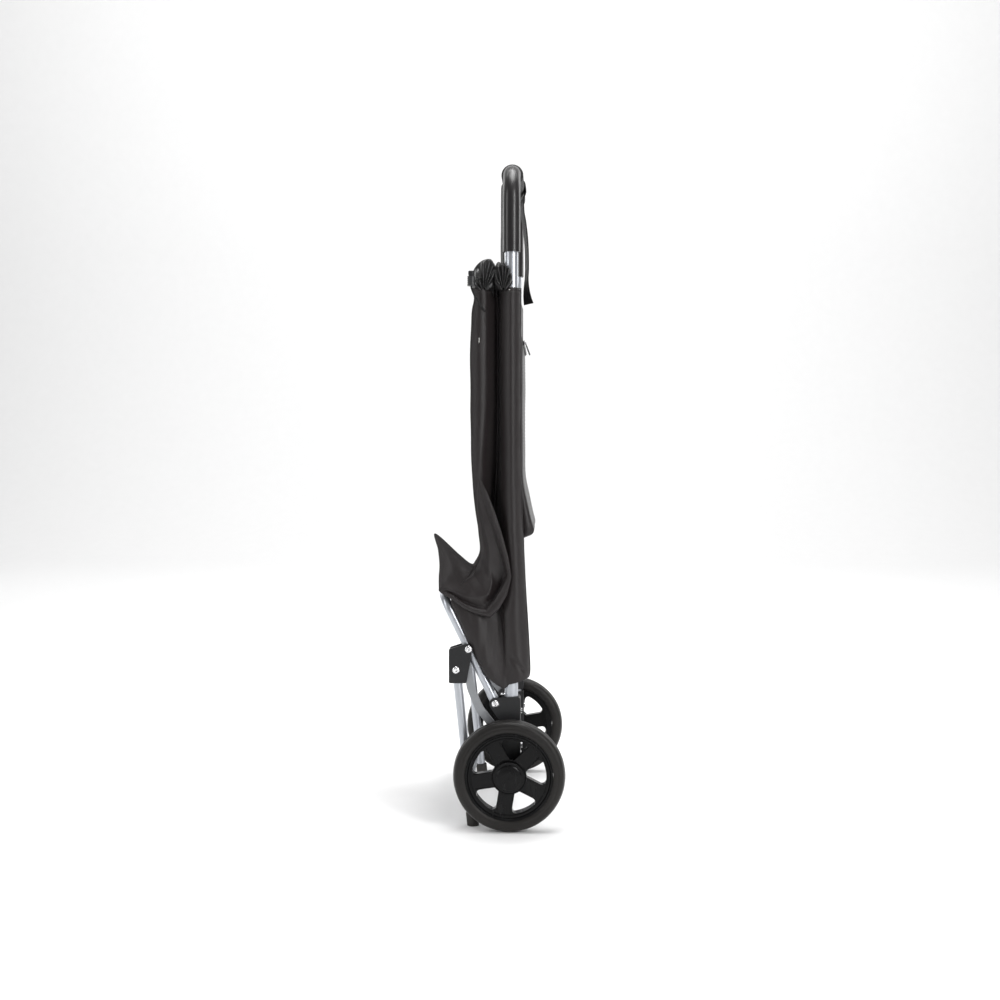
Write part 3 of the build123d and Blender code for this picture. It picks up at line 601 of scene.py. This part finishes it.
# %% The rails of the pleat
PLEAT_STEPS = 12
bend_points = smooth_rail([
    (161, -44, 506), (163.5, -31, 480), (165, -19.5, 451), (166, -10, 421), (166, -1.5, 389),
    (166.5, 2.6, 362), (166.5, -3.6, 337), (166.5, -15, 316), (166, -27.5, 304.5),
    (165, -46, 308.5), (163.5, -64, 316), (161, -80, 327.5), (158.2, -98, 338)])


def creased_edge(t):
    """The free edge as a stiff fold: mostly straight from stop to stop."""
    first = min(int(t), PLEAT_STEPS - 1)
    straight = bend_points(first).lerp(bend_points(first + 1), t - first)
    return bend_points(t).lerp(straight, 0.8)


near_front = smooth_rail([
    (158, -51, 510), (157.5, -50, 484), (157, -47.5, 455), (156.5, -44.5, 425),
    (156.3, -42.5, 400), (156.3, -49, 385), (156.3, -55.5, 380.5), (157, -72, 393.5),
    (157, -106.6, 424), (157.5, -102.5, 400), (157.5, -100.5, 378), (157.8, -101.5, 360),
    (158, -101.5, 341)])
far_front = smooth_rail([
    (158, -51, 510), (157.5, -50, 484), (157, -47.5, 455), (156.5, -44.5, 420),
    (156.3, -44, 388), (156.3, -49, 371), (156.3, -58, 358), (157, -72, 350),
    (157, -89, 350), (157.5, -96, 352), (157.5, -100, 352), (157.8, -101.5, 348),
    (158, -101.5, 341)])


def per_stop(*values):
    """A smooth value down the rails, one number for each stop."""
    return smooth_rail([(value, 0, 0) for value in values])


RIM_WIDE = per_stop(0.5, 0.45, 0.36, 0.26, 0.17, 0.10, 0.16, 0.14, 0.08, 0.10, 0.16, 0.3, 0.5)
RIM_RAISE = per_stop(0, 1.5, 2.2, 2.2, 1.8, 1.2, 1.5, 1.6, 1.6, 1.6, 1.4, 0.8, 0)
RIDGE_AT = per_stop(0.8, 0.8, 0.75, 0.7, 0.66, 0.62, 0.42, 0.27, 0.22, 0.27, 0.38, 0.5, 0.7)
POCKET_DEEP = per_stop(0, 1, 2, 4, 8, 14, 17, 14, 9, 8, 7, 4, 0)
FACET_DEEP = per_stop(0, 0, 1, 2, 3, 5, 7, 8, 8, 8, 6, 3, 0)
PLEAT_CURL, PLEAT_SIDE = 0.05, 0.29
print("pleat stops:", PLEAT_STEPS + 1)


# %% Fold the pleat
def pleat_point(u, v):
    """u from one free edge over the front to the other, v down the rails."""
    side = 1 if u <= 0.5 else -1
    t, down = min(u, 1 - u), v * PLEAT_STEPS
    edge = creased_edge(down)
    front = near_front(down) if side > 0 else far_front(down)
    if t < PLEAT_CURL:
        inward = 1 - t / PLEAT_CURL
        back = (front - edge) * 0.06 * sin(inward * pi / 2)
        return spot(side * (edge.x - 13 * inward ** 1.6), edge.y + back.y, edge.z + back.z)
    if t < PLEAT_SIDE:
        f = (t - PLEAT_CURL) / (PLEAT_SIDE - PLEAT_CURL)
        x, y, z = edge.lerp(front, f)
        rim, ridge_at = RIM_WIDE(down).x, RIDGE_AT(down).x
        if f < rim:
            x += RIM_RAISE(down).x * sin(pi * f / rim)
        elif f < ridge_at:
            g = (f - rim) / (ridge_at - rim)
            x -= POCKET_DEEP(down).x * min(1.0, g / 0.2) * (1 - g) ** 0.9
        else:
            g = (f - ridge_at) / (1 - ridge_at)
            x -= FACET_DEEP(down).x * sin(pi * g) ** 1.4
        soft = ripple((side * 50, y, z), 24, 1.8, 5.0) * sin(pi * f)
        return spot(side * (x + soft), y, z)
    share = (u - PLEAT_SIDE) / (1 - 2 * PLEAT_SIDE)
    _, y, z = near_front(down).lerp(far_front(down), share)
    sag = sin(pi * share)
    horn = bump_at(down, 6.6, 2.2)
    sway = ripple((share * 300, 20, down * 20), 60, 5.0, 2.0)
    drop = (30 * sag ** 0.8 + sway * sag) * horn
    fold = ripple((share * 300, 60, down * 16), 46, 3.4, 6.0) * sag * min(1.0, down / 3)
    tucked = 5 * max(0.0, 1 - down / 2) * sag
    return spot(157 * (1 - 2 * share), y + fold + tucked + 5 * sag * horn, z - drop)


pleat_piece = cloth_grid("bag_front_pleat", 240, 150, (0.44, 0.24), pleat_point, bag_cloth)
print("pleat vertices:", len(pleat_piece.data.vertices))

# %% [markdown]
# ## Gathered collar
# A collar of thin lining stands above the hem and is drawn in by a cord. In side view it
# makes two bunches: a front one, fanned out from the cord lock, and a rear one that
# crowds round the tube. Each is a sleeve of cloth along the bag, closed at both ends,
# with small pleats along it and pleats that fan out over its ends.


# %% Helper for a bunch of gathered cloth
TUBE_CLEAR = 10.6


def tube_face(x):
    """How far back cloth may reach at x: in front of the tube, or past its outer side."""
    beside = abs(x) - TUBE_X
    if beside < -10.4:
        return 9.0
    if beside > 10.2:
        return 3.6
    return TUBE_BACK - (TUBE_CLEAR ** 2 - beside ** 2) ** 0.5


def gathered_bunch(name, outline, half, cap, pleats, depth, seed, flat, hug):
    """Cloth along X with a side-view outline and gathers. It hugs the tube if asked."""
    rail = smooth_rail([(0, y, z) for y, z in outline])
    front_y, back_y = min(y for y, z in outline), max(y for y, z in outline)
    middle = Vector((0, (front_y + back_y) / 2, 766))

    def place(u, v):
        x = (2 * u - 1) * half
        into_cap = max(0.0, (abs(x) - half + cap) / cap)
        size = max(0.03, (1 - into_cap ** 2.6)) ** 0.55
        point = rail(v * (len(outline) - 1))
        risen = min(1.0, max(0.0, (point.z - 764) / 16))
        below = min(1.0, max(0.0, (778 - point.z) / 9))
        gather = sin(u * tau * pleats + 2.2 * sin(v * 3 + seed)
                     + ripple((x, 0, v * 30), 20, 4.0, seed))
        uneven = ripple((x, 30, v * 20), 18, 2.6, seed + 3)
        local = point - middle
        away = max(local.length, 1.0)
        local *= (1 + (gather * depth + uneven) * risen / away) * (1 + (size - 1) * risen)
        y, z = middle.y + local.y, middle.z + local.z
        fan = sin(v * tau * 7 + seed + 1.5 * sin(v * 9)) * (1.0 - 0.5 * into_cap)
        x += (1 if x > 0 else -1) * fan * 2.6 * min(1, into_cap * 2.5) * risen
        x *= 1 - 0.085 * below
        if hug:
            y = front_y + (y - front_y) * (tube_face(x) - front_y) / (back_y - front_y)
        return spot(x, y, z)

    piece = cloth_grid(name, int(half * 2.4), 72, flat, place, lining_cloth, thick=0.5 * MM)
    print(name, "vertices:", len(piece.data.vertices))
    return piece


# %% Gather the two bunches
front_collar = gathered_bunch(
    "bag_front_collar",
    [(-49, 761), (-52.5, 779), (-50.5, 796), (-44, 806), (-36, 811), (-27, 811), (-22, 803),
     (-21, 788), (-24, 761)], 162, 9, 33, 2.6, 1.3, (0.44, 0.10), False)
rear_collar = gathered_bunch(
    "bag_rear_collar",
    [(-17.5, 761), (-20.5, 784), (-19.5, 799), (-16, 806), (-11, 806.5), (-6, 801),
     (-2, 790), (-1, 761)], 163.4, 3, 29, 2.0, 4.7, (0.44, 0.09), True)

# %% [markdown]
# ## Rear pocket
# A flat pocket with a zip hangs on the back. Its lower edge is stiff and stands off in a
# wedge, with a small roll at the hem. It is a sheet that follows one side-view rail and
# closes against the bag at both sides.

# %% Hang the pocket
POCKET_HALF, POCKET_SEAT = 131, 15.9
pocket_rail = smooth_rail([
    (0, 16.2, 706), (0, 17.4, 690), (0, 17.6, 620), (0, 17.8, 540), (0, 18.8, 500),
    (0, 24.5, 468), (0, 31.5, 437), (0, 34.4, 427.5), (0, 32.0, 421), (0, 25, 417.5),
    (0, 16.8, 414)])


def pocket_point(u, v):
    """u across the pocket, v down its face and back under its hem."""
    x = (2 * u - 1) * POCKET_HALF
    y, z = pocket_rail(v * 10).yz
    to_side = max(0.0, (abs(x) - POCKET_HALF + 6) / 6)
    stand = (y - POCKET_SEAT) * (1 - 0.94 * to_side ** 2.5)
    soft = ripple((x, 10, z), 55, 1.6, 9.0) * (1 - to_side) * min(1, v * 5)
    return spot(x, POCKET_SEAT + stand + max(-0.5, soft) * 0.6, z)


pocket_piece = cloth_grid("pocket_cloth", 120, 90, (0.262, 0.33), pocket_point, bag_cloth)
print("pocket vertices:", len(pocket_piece.data.vertices))

# %% [markdown]
# ## Zip teeth
# The zip's coil shows as a double row of small teeth. One tooth is a plain block of six
# faces, copied along the tape; hundreds of them stay light only if each is that simple.

# %% Set the teeth
zip_low, zip_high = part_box("pocket_zip")
TOOTH_PITCH = 2.0 * MM
zip_middle = (zip_low.z + zip_high.z) / 2
bm = bmesh.new()
place_x, flip = zip_low.x + 3 * MM, 1
while place_x < zip_high.x - 3 * MM:
    middle = Vector((place_x, zip_high.y + 0.35 * MM, zip_middle + flip * 0.5 * MM))
    tooth = bmesh.ops.create_cube(bm, size=1.0)["verts"]
    bmesh.ops.scale(bm, vec=(1.3 * MM, 0.9 * MM, 2.2 * MM), verts=tooth)
    bmesh.ops.translate(bm, vec=middle, verts=tooth)
    place_x, flip = place_x + TOOTH_PITCH / 2, -flip
teeth = make_object("zip_teeth", bm)
teeth.data.materials.append(thread_black)
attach(teeth, "frame")
print("teeth:", len(teeth.data.polygons) // 6)

# %% [markdown]
# ## Hanging strap
# A loop of webbing passes over the grip. Webbing keeps its width and only bends one way,
# so it is a narrow grid that follows one rail, with its ends flared where they are sewn.

# %% Lay the strap over the grip
GRIP_R, WRAP = 16, 17.0
GRIP_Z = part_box("grip")[1].z / MM - GRIP_R
strap_points = [(0, -13.8, 798), (0, -14.6, 822), (0, -15.2, 850), (0, -14.8, 885),
                (0, TUBE_BACK - WRAP, GRIP_Z - 8)]
for step in range(1, 12):
    turn = pi - step * pi / 12
    strap_points.append((0, TUBE_BACK + WRAP * cos(turn), GRIP_Z + WRAP * sin(turn)))
strap_points += [(0, TUBE_BACK + WRAP, GRIP_Z - 8), (0, 15.5, 922), (0, 15.5, 904),
                 (0, 18.5, 886), (0, 21.6, 855), (0, 22.4, 820), (0, 21.4, 795), (0, 22.4, 778),
                 (0, 25, 765)]
strap_rail = smooth_rail(strap_points)


def strap_point(u, v):
    """u across the webbing, v along it."""
    y, z = strap_rail(v * (len(strap_points) - 1)).yz
    flare = max(0.0, (v - 0.90) / 0.10)
    loose = min(1.0, max(0.0, (v - 0.60) / 0.12, (0.38 - v) / 0.10))
    across = 2 * u - 1
    return spot(across * (13.5 + 2.5 * flare), y + across * (2.6 * loose + 4.5 * flare), z)


strap_piece = cloth_grid("strap_webbing", 12, 160, (0.027, 0.38), strap_point, webbing_black,
                         thick=1.5 * MM)
print("strap vertices:", len(strap_piece.data.vertices))

# %% [markdown]
# ## Drawstring
# The drawstring leaves an eyelet in the collar, passes through the lock, and its tail
# hangs down in an S and tucks into the top fold. A cord is a NURBS curve with a round
# bevel: few points, and a line without kinks.


# %% Lead the drawstring through its lock
def drawstring(name, route, radius):
    """A smooth round cord through side-view points."""
    line = bpy.data.curves.new(name, "CURVE")
    line.dimensions = "3D"
    line.bevel_depth, line.bevel_resolution, line.resolution_u = radius, 4, 12
    line.use_fill_caps = True
    spline = line.splines.new("NURBS")
    spline.points.add(len(route) - 1)
    for point, place in zip(spline.points, route):
        point.co = (*spot(*place), 1)
    spline.order_u = 3
    spline.use_endpoint_u = True
    cord = bpy.data.objects.new(name, line)
    scene.collection.objects.link(cord)
    line.materials.append(webbing_black)
    return cord


CORD_R = 1.3 * MM
cord_route = [(160, -40, 787), (164.5, -43.5, 785), (168, -47.5, 782), (169.8, -51.5, 779),
              (170.3, -54.6, 774.5), (167.6, -52, 766), (165.4, -47.5, 757), (165, -42, 750),
              (163.6, -39, 744), (160.5, -35, 739)]
cord_piece = drawstring("drawstring_cord", cord_route, CORD_R)
bare_line = cord_piece.data.copy()
bare_line.bevel_depth = 0.0
measure = bpy.data.objects.new("measure", bare_line)
measured = bpy.data.meshes.new_from_object(measure)
bpy.data.objects.remove(measure)

# %% [markdown]
# ## Stitching
# Lock stitches hold the hems and seams. One stitch is a tiny block that lies along its
# seam; a whole row is one object. The rows take their places from the same functions as
# the cloth, so they always lie on it.


# %% Helper for a row of stitches
def stitch_row(bm, at, count, side_of):
    """Add count stitches along at(0..1), each lifted off the cloth by side_of(t)."""
    for i in range(count):
        t = (i + 0.5) / count
        start, end = at(max(0.0, t - 0.3 / count)), at(min(1.0, t + 0.3 / count))
        run = end - start
        stitch = bmesh.ops.create_cube(bm, size=1.0)["verts"]
        bmesh.ops.scale(bm, vec=(max(run.length, 1.2 * MM), 0.55 * MM, 0.45 * MM), verts=stitch)
        bmesh.ops.rotate(bm, cent=(0, 0, 0), matrix=run.to_track_quat("X", "Z").to_matrix(),
                         verts=stitch)
        bmesh.ops.translate(bm, vec=(start + end) / 2 + side_of(t), verts=stitch)


def outward(t):
    """Lift off the shell at the hem, away from the middle of its ring."""
    point = shell_point(t, 0.014) - spot(0, -20, 765)
    return Vector((point.x, point.y * 3, 0)).normalized() * 0.45 * MM


# %% Sew the frame's cloth
bm = bmesh.new()
stitch_row(bm, lambda t: shell_point(t, 0.014), 230, outward)
for cut in (0.012, 0.018):
    stitch_row(bm, lambda t: pocket_point(t, cut), 86, lambda t: Vector((0, 0.5 * MM, 0)))
for cut in (0.035, 0.965):
    stitch_row(bm, lambda t: pocket_point(cut, 0.02 + 0.62 * t), 90,
               lambda t: Vector((0, 0.5 * MM, 0)))
stitch_row(bm, lambda t: pocket_point(0.03 + 0.94 * t, 0.64), 80,
           lambda t: Vector((0, 0.5 * MM, 0.2 * MM)))
hem_stitches = make_object("hem_stitches", bm)
hem_stitches.data.materials.append(thread_black)
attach(hem_stitches, "frame")
print("stitches:", len(hem_stitches.data.polygons) // 6)

# %% Paint the pale highlights: a glint at the hem and a bartack's lit side
def on_near_side(y, z):
    """The shell's outermost place near a side-view point."""
    target = spot(0, y, z)
    near = [v.co for v in shell_piece.data.vertices
            if abs(v.co.y - target.y) < 2 * MM and abs(v.co.z - target.z) < 3 * MM]
    return Vector((max(co.x for co in near), target.y, target.z))


# Two pale blocks are painted highlights: the one at the hem paints the glint of the silver tube
# showing there, and the slim one on the gusset is a real bartack painted pale for its lit side.
bm = bmesh.new()
for y, z, wide, high in ((0.4, 769.5, 3.4, 1.0), (-43.2, 697.7, 0.9, 8.0)):
    highlight_block = bmesh.ops.create_cube(bm, size=1.0)["verts"]
    bmesh.ops.scale(bm, vec=Vector((0.9, wide, high)) * MM, verts=highlight_block)
    bmesh.ops.translate(bm, vec=on_near_side(y, z), verts=highlight_block)
bmesh.ops.bevel(bm, geom=bm.edges[:], offset=0.2 * MM, segments=2, profile=0.5,
                affect="EDGES", material=-1)
painted_highlights = make_object("painted_highlights", bm)
painted_highlights.data.materials.append(nylon_white_and_highlight)
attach(painted_highlights, "frame")
print("tacks:", len(painted_highlights.data.polygons))

# %% [markdown]
# ## Rivets
# The heads of the rivets are low domes with a small sunken centre. A profile spun round
# the rivet's axis gives that shape, and the flat back is closed by the spin as well.

# %% Helper for domed rivets
HEAD_PROFILE = ((0, 1.2), (1.2, 1.25), (1.7, 1.7), (2.2, 2.2), (3.4, 1.95), (4.6, 1.25),
                (5.3, 0.5), (5.5, 0.0))


def spin_profile(bm, pairs, centre, outwards, segments=40):
    """Spin (radius, height) pairs in millimetres about an X axis through centre."""
    chain = [bm.verts.new(centre + Vector((outwards * h * MM, 0, r * MM))) for r, h in pairs]
    edges = [bm.edges.new(pair) for pair in zip(chain, chain[1:])]
    bmesh.ops.spin(bm, geom=chain + edges, cent=centre, axis=(1, 0, 0), angle=tau,
                   steps=segments, use_merge=True)


def domed_rivets(name, places, grip_half):
    """Rivets on both sides of the trolley at side-view places, replacing a CAD node."""
    bm = bmesh.new()
    for y, z in places:
        for side in (1, -1):
            for face in (1, -1):
                centre = spot(side * TUBE_X + face * grip_half, y, z)
                spin_profile(bm, HEAD_PROFILE, centre, face)
                spin_profile(bm, ((2.8, -grip_half), (2.8, 0), (5.5, 0)), centre, face, 20)
    bmesh.ops.remove_doubles(bm, verts=bm.verts, dist=0.01 * MM)
    bmesh.ops.recalc_face_normals(bm, faces=bm.faces)
    piece = make_object(name, bm)
    shade_smooth(piece)
    piece.data.materials.append(bright_zinc)
    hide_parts(name.replace("domed_", ""))
    print(name, "faces:", len(piece.data.polygons))
    return piece


# %% Set the rivets
CHEEK = 12.5
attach(domed_rivets("domed_fold_rivets", [(-20.3, 178.9)], CHEEK), "frame")
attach(domed_rivets("domed_link_rivets", [(-17.5, 136.5)], CHEEK), "frame")
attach(domed_rivets("domed_foot_rivets", [(-58.9, 257.5), (-76.8, 227.5)], CHEEK), "foot")

# %% [markdown]
# ## Tyres
# The tyre is a soft ring with a low crown, a rounded shoulder and a bead line where it
# meets the rim. Its section is spun round the axle. Shallow grooves round the tread are
# part of the section, so they cost only a few points.

# %% Spin the tyres
WHEEL_X, WHEEL_R = 180, 80
TYRE_SECTION = ((62.8, -13.0), (66, -13.6), (70, -14.0), (74, -13.4), (76.6, -11.8),
                (78.4, -9.0), (79.2, -6.2), (78.7, -5.6), (78.7, -4.8), (79.5, -4.2),
                (80, -0.6), (79.6, -0.3), (79.6, 0.3), (80, 0.6), (79.5, 4.2), (78.7, 4.8),
                (78.7, 5.6), (79.2, 6.2), (78.4, 9.0), (76.6, 11.8), (74, 13.4), (70.6, 14.0),
                (69.8, 13.6), (69.2, 14.0), (66, 13.6), (64.2, 13.3), (63.8, 12.7), (62.8, 12.7),
                (62.8, -13.0))
for name, side in (("left", 1), ("right", -1)):
    bm = bmesh.new()
    spin_profile(bm, TYRE_SECTION, spot(side * WHEEL_X, 0, WHEEL_R), side, 128)
    bmesh.ops.remove_doubles(bm, verts=bm.verts, dist=0.01 * MM)
    bmesh.ops.recalc_face_normals(bm, faces=bm.faces)
    tread = make_object(f"tread_{name}", bm)
    shade_smooth(tread)
    tread.data.materials.append(tyre_brown)
    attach(tread, f"wheel_{name}")
    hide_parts(f"tyre_{name}")
    print(tread.name, "faces:", len(tread.data.polygons))

# %% [markdown]
# ## Rim ribs
# The spokes have raised borders, and raised rings run round the hub and the windows; they
# are what catches the light on a black wheel. They could be cut into the rim's own mesh,
# but thin ribs laid on its face give the same edges and leave the rim as it is.

# %% Lay the ribs
SPOKES, RIM_FACE = 5, 190.0
RIB_LONG, RIB_HIGH, RIB_WIDE, RIB_OFF = 23.0, 2.4, 1.7, 10.3
for name, side, first_spoke in (("left", 1, 45), ("right", -1, 10)):
    bm = bmesh.new()
    for spoke in range(SPOKES):
        turned = Matrix.Rotation(radians(first_spoke + spoke * 360 / SPOKES), 3, "X")
        for border in (-1, 1):
            rib = bmesh.ops.create_cube(bm, size=1.0)["verts"]
            bmesh.ops.scale(bm, vec=Vector((RIB_HIGH, RIB_LONG, RIB_WIDE)) * MM, verts=rib)
            bmesh.ops.translate(bm, vec=Vector((0, 38.5, border * RIB_OFF)) * MM, verts=rib)
            bmesh.ops.rotate(bm, cent=(0, 0, 0), verts=rib, matrix=turned)
            bmesh.ops.translate(bm, vec=spot(side * RIM_FACE, 0, WHEEL_R), verts=rib)
    bmesh.ops.bevel(bm, geom=bm.edges[:], offset=0.5 * MM, segments=2, profile=0.5,
                    affect="EDGES", material=-1)
    for ring in (24.0, 54.8, 61.0):
        seat = 2.3 if ring > 60 else 0.0
        spin_profile(bm, ((ring - 1.1, seat - 0.4), (ring - 0.8, seat + 0.9), (ring, seat + 1.3),
                          (ring + 0.8, seat + 0.9), (ring + 1.1, seat - 0.4),
                          (ring - 1.1, seat - 0.4)), spot(side * RIM_FACE, 0, WHEEL_R),
                     side, 96)
    bmesh.ops.remove_doubles(bm, verts=bm.verts, dist=0.01 * MM)
    bmesh.ops.recalc_face_normals(bm, faces=bm.faces)
    ribs = make_object(f"rim_ribs_{name}", bm)
    shade_smooth(ribs)
    ribs.data.materials.append(rim_black)
    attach(ribs, f"wheel_{name}")
    print(ribs.name, "faces:", len(ribs.data.polygons))

# %% [markdown]
# ## What the cloth stands for
# The new cloth takes the place of the plain CAD cloth solids. The shell and the pleat
# cross the platform's hinge and are left in place, on no body; the rest rides on the
# frame. Each sheet has a flat size, printed beside its area. Those of the pleat and the two
# collars were fitted to the modelled cloth, so they say nothing of how it was really cut.

# %% Hook the cloth to the frame
for piece in (shell_piece, pleat_piece):
    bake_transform(piece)
for piece in (front_collar, rear_collar, pocket_piece, strap_piece, cord_piece):
    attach(piece, "frame")
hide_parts("bag_back_panel", "bag_front_panel", "bag_sleeve_left",
            "bag_sleeve_right", "bag_gusset_left", "bag_gusset_right", "bag_base")
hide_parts("bag_front_fold")
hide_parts("bag_collar")
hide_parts("rear_pocket")
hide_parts("hang_strap")
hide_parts("drawstring_tape")

for piece, flat, held in (
        (shell_piece, (0.84, 0.62), "hung"), (pleat_piece, (0.44, 0.24), "folded"),
        (front_collar, (0.44, 0.10), "gathered"), (rear_collar, (0.44, 0.09), "gathered"),
        (pocket_piece, (0.262, 0.33), "hung"), (strap_piece, (0.027, 0.38), "draped")):
    surface = sum(face.area for face in piece.data.polygons)
    print(piece.name, "area", round(surface, 4), "of", round(flat[0] * flat[1], 4))

# %% Measure the bounds of the model
low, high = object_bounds()
